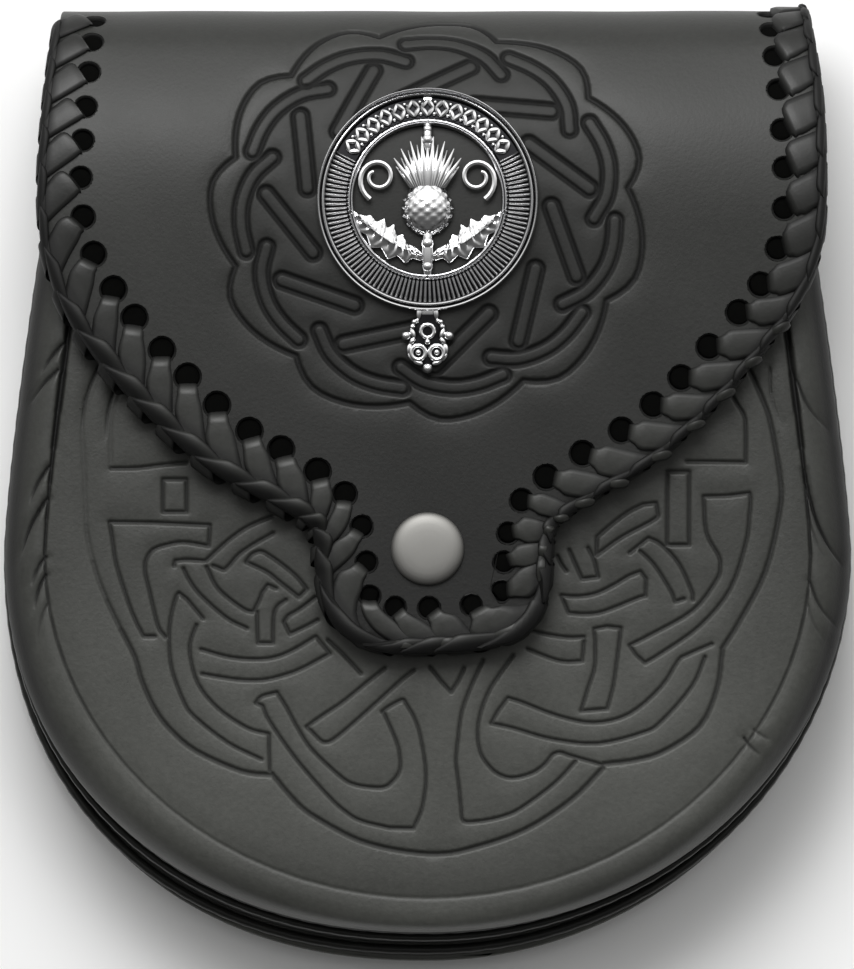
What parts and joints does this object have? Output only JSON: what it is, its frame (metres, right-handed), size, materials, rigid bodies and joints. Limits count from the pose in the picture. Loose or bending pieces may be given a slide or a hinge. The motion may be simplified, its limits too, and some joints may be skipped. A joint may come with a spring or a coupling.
{
  "type": "sporran pouch",
  "caption": "Moulded leather sporran pouch with a folded, thong-laced flap, a press stud, a cast badge and two belt loops on its back.",
  "frame": {"origin": "on the floor under the middle of the pouch, which lies on its back", "axes": "seen from its front, +X is to the right and +Y up the pouch to the fold of its flap; +Z is out of its front"},
  "size_m": [0.161, 0.1823, 0.0458],
  "materials": {
    "moulded_leather": "satin black leather with a fine grain and soft wear",
    "lace_leather": "satin black leather thong",
    "edge_leather": "smooth black leather piping",
    "brushed_nickel": "satin nickel",
    "polished_pewter": "polished cast pewter, dark in its recesses"
  },
  "bodies": {
    "root": {"pouch_front": "moulded_leather", "gusset": "moulded_leather", "front_welt": "edge_leather", "back_welt": "edge_leather", "back_panel": "moulded_leather", "flap": "moulded_leather", "flap_lacing": "lace_leather", "snap_cap": "brushed_nickel", "snap_stud": "brushed_nickel", "badge": "polished_pewter", "belt_loop_left": "moulded_leather", "belt_loop_right": "moulded_leather"}
  },
  "joints": []
}
